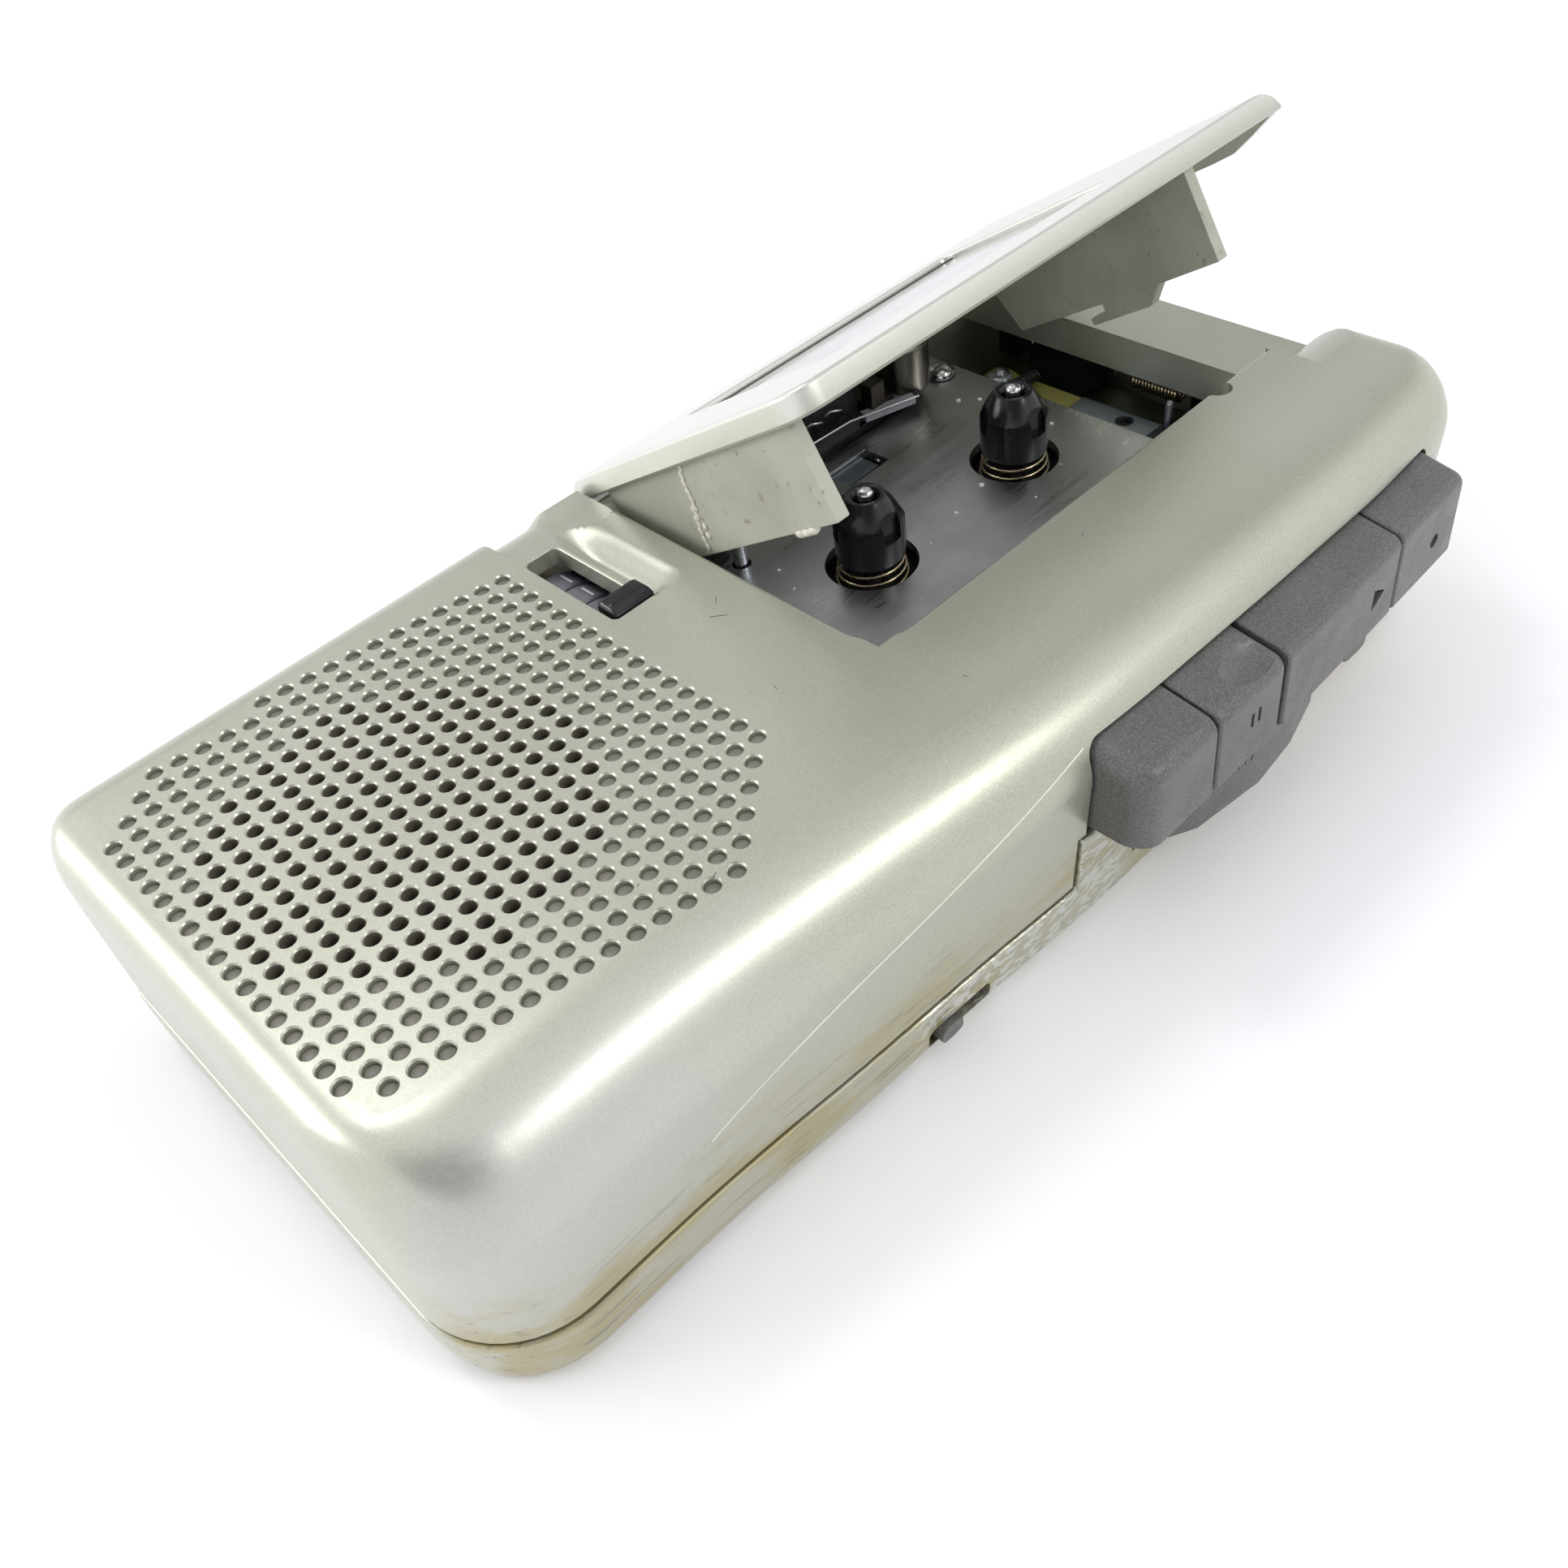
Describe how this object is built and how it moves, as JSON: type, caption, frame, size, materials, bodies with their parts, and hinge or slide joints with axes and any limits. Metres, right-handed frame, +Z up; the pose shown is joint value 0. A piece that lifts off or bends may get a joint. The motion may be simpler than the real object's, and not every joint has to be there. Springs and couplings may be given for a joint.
{
  "type": "micro-cassette voice recorder",
  "caption": "Hand-held micro-cassette recorder on its back: perforated speaker end, tape counter, open cassette lid over reel hubs and heads, side keys.",
  "frame": {"origin": "middle of the footprint, on the surface that the recorder's flat back lies on", "axes": "+X from the loudspeaker end to the far end, +Y from the keys to the lid hinge, +Z up out of the front face"},
  "size_m": [0.1228, 0.066, 0.0474],
  "materials": {
    "case_paint": "moulded plastic in satin metallic champagne paint with fine sparkle, worn at the lower edges",
    "liner_plastic": "bare beige-grey moulded plastic, satin",
    "key_plastic": "warm dark grey moulded plastic, fine matte texture",
    "black_plastic": "black acetal, polished",
    "steel": "bright rolled steel",
    "zinc_plate": "dull zinc-plated pressing",
    "spring_wire": "phosphor bronze and plated spring wire",
    "ferrite": "dark sintered magnet",
    "fibre_board": "phenolic paper board, yellow-green",
    "rubber": "black moulded rubber",
    "window_clear": "clear moulded window, polished",
    "speaker_paper": "black paper cone",
    "cell_jacket": null,
    "lamp_red": "red translucent lamp lens"
  },
  "bodies": {
    "case": {"upper_shell": "case_paint", "lower_shell": "case_paint", "counter_frame": "black_plastic", "earphone_jack": "black_plastic", "microphone_jack": "black_plastic", "case_screw_1": "steel", "case_screw_2": "steel", "lid_hinge_pin": "steel", "chassis_plate": "steel", "plate_screw": "steel", "takeup_shaft": "steel", "supply_shaft": "steel", "motor": "steel", "speaker_frame": "steel", "counter_axle": "steel", "bearing_plate": "zinc_plate", "idler_arm": "zinc_plate", "lock_bracket": "zinc_plate", "bridge_spring": "spring_wire", "battery_contact_spring": "spring_wire", "battery_contact_plate": "spring_wire", "speaker_magnet": "ferrite", "microphone": "ferrite", "circuit_board": "fibre_board", "drive_belt": "rubber", "speaker_cone": "speaker_paper", "battery_cell_1": "cell_jacket", "battery_cell_2": "cell_jacket", "record_lamp": "lamp_red"},
    "battery_door": {"battery_door": "case_paint"},
    "lid": {"cassette_lid": "case_paint", "lid_window": "window_clear", "cassette_wing_left": "liner_plastic", "cassette_wing_right": "liner_plastic"},
    "stop_key": {"stop_eject_key": "key_plastic"},
    "pause_key": {"pause_key": "key_plastic"},
    "play_key": {"play_key": "key_plastic"},
    "record_key": {"record_key": "key_plastic"},
    "cue_slider": {"cue_review_slider": "key_plastic"},
    "speed_knob": {"speed_switch_knob": "key_plastic"},
    "voice_knob": {"voice_switch_knob": "key_plastic"},
    "takeup_reel": {"takeup_hub": "black_plastic", "takeup_spring": "spring_wire", "takeup_turntable": "rubber"},
    "supply_reel": {"supply_hub": "black_plastic", "supply_spring": "spring_wire", "supply_turntable": "rubber"},
    "idler": {"idler_wheel": "rubber"},
    "capstan": {"flywheel": "steel"},
    "motor_rotor": {"motor_pulley": "spring_wire"},
    "head_carriage": {"head_bridge": "zinc_plate", "record_play_head": "steel", "erase_head": "liner_plastic", "pinch_arm": "black_plastic"},
    "pinch_roller": {"pinch_roller": "rubber"},
    "counter_units": {"counter_wheel_units": "black_plastic"},
    "counter_tens": {"counter_wheel_tens": "black_plastic"},
    "counter_hundreds": {"counter_wheel_hundreds": "black_plastic"},
    "reset_button": {"counter_reset_button": "black_plastic"},
    "volume": {"volume_wheel": "black_plastic"}
  },
  "joints": [
    {"name": "lid_hinge", "type": "hinge", "parent": "case", "child": "lid", "pos_m": [0, 0.0309, 0.0249], "axis": [1, 0, 0], "range_deg": [0, 31.6], "stiffness_Nm_per_rad": 0.01, "springref_deg": -20.05},
    {"name": "stop_key_press", "type": "slide", "parent": "case", "child": "stop_key", "axis": [0, 1, 0], "range_m": [0, 0.0025], "stiffness_N_per_m": 300},
    {"name": "pause_key_press", "type": "slide", "parent": "case", "child": "pause_key", "axis": [0, 1, 0], "range_m": [0, 0.0025], "stiffness_N_per_m": 300},
    {"name": "play_key_press", "type": "slide", "parent": "case", "child": "play_key", "axis": [0, 1, 0], "range_m": [0, 0.0025], "stiffness_N_per_m": 300},
    {"name": "record_key_press", "type": "slide", "parent": "case", "child": "record_key", "axis": [0, 1, 0], "range_m": [0, 0.0025], "stiffness_N_per_m": 300},
    {"name": "cue_review_slide", "type": "slide", "parent": "case", "child": "cue_slider", "axis": [1, 0, 0], "range_m": [-0.0025, 0.0025], "stiffness_N_per_m": 200},
    {"name": "speed_switch_slide", "type": "slide", "parent": "case", "child": "speed_knob", "axis": [1, 0, 0], "range_m": [0, 0.003]},
    {"name": "voice_switch_slide", "type": "slide", "parent": "case", "child": "voice_knob", "axis": [1, 0, 0], "range_m": [0, 0.003]},
    {"name": "reset_press", "type": "slide", "parent": "case", "child": "reset_button", "axis": [0, 0, -1], "range_m": [0, 0.001], "stiffness_N_per_m": 300},
    {"name": "battery_door_slide", "type": "slide", "parent": "case", "child": "battery_door", "axis": [-1, 0, 0], "range_m": [0, 0.012]},
    {"name": "volume_turn", "type": "hinge", "parent": "case", "child": "volume", "pos_m": [0.0562, 0.017, 0.0154], "axis": [0, 0, 1], "range_deg": [-140, 140]},
    {"name": "takeup_spin", "type": "hinge", "parent": "case", "child": "takeup_reel", "pos_m": [0.0135, 0.0088, 0.0137], "axis": [0, 0, 1], "continuous": true},
    {"name": "supply_spin", "type": "hinge", "parent": "case", "child": "supply_reel", "pos_m": [0.0354, 0.0088, 0.0137], "axis": [0, 0, 1], "continuous": true},
    {"name": "idler_spin", "type": "hinge", "parent": "case", "child": "idler", "pos_m": [0.02445, 0.0156, 0.0137], "axis": [0, 0, 1], "continuous": true},
    {"name": "capstan_spin", "type": "hinge", "parent": "case", "child": "capstan", "pos_m": [0.0056, 0.0192, 0.0115], "axis": [0, 0, 1], "continuous": true},
    {"name": "motor_spin", "type": "hinge", "parent": "case", "child": "motor_rotor", "pos_m": [0.033, -0.0056, 0.0115], "axis": [0, 0, 1], "continuous": true},
    {"name": "carriage_slide", "type": "slide", "parent": "case", "child": "head_carriage", "axis": [0, -1, 0], "range_m": [0, 0.0025]},
    {"name": "pinch_roller_spin", "type": "hinge", "parent": "head_carriage", "child": "pinch_roller", "pos_m": [0.0059, 0.0256, 0.0206], "axis": [0, 0, 1], "continuous": true},
    {"name": "counter_units_spin", "type": "hinge", "parent": "case", "child": "counter_units", "pos_m": [-0.0132, 0.0167, 0.02015], "axis": [0, 1, 0], "continuous": true},
    {"name": "counter_tens_spin", "type": "hinge", "parent": "case", "child": "counter_tens", "pos_m": [-0.0132, 0.0198, 0.02015], "axis": [0, 1, 0], "continuous": true},
    {"name": "counter_hundreds_spin", "type": "hinge", "parent": "case", "child": "counter_hundreds", "pos_m": [-0.0132, 0.0229, 0.02015], "axis": [0, 1, 0], "continuous": true}
  ],
  "couplings": [
    {"joint": "carriage_slide", "follows": "play_key_press", "ratio": 1},
    {"joint": "idler_spin", "follows": "takeup_spin", "ratio": -2.125},
    {"joint": "motor_spin", "follows": "capstan_spin", "ratio": 4.3182},
    {"joint": "counter_units_spin", "follows": "takeup_spin", "ratio": 0.25},
    {"joint": "counter_tens_spin", "follows": "takeup_spin", "ratio": 0.025},
    {"joint": "counter_hundreds_spin", "follows": "takeup_spin", "ratio": 0.0025}
  ]
}
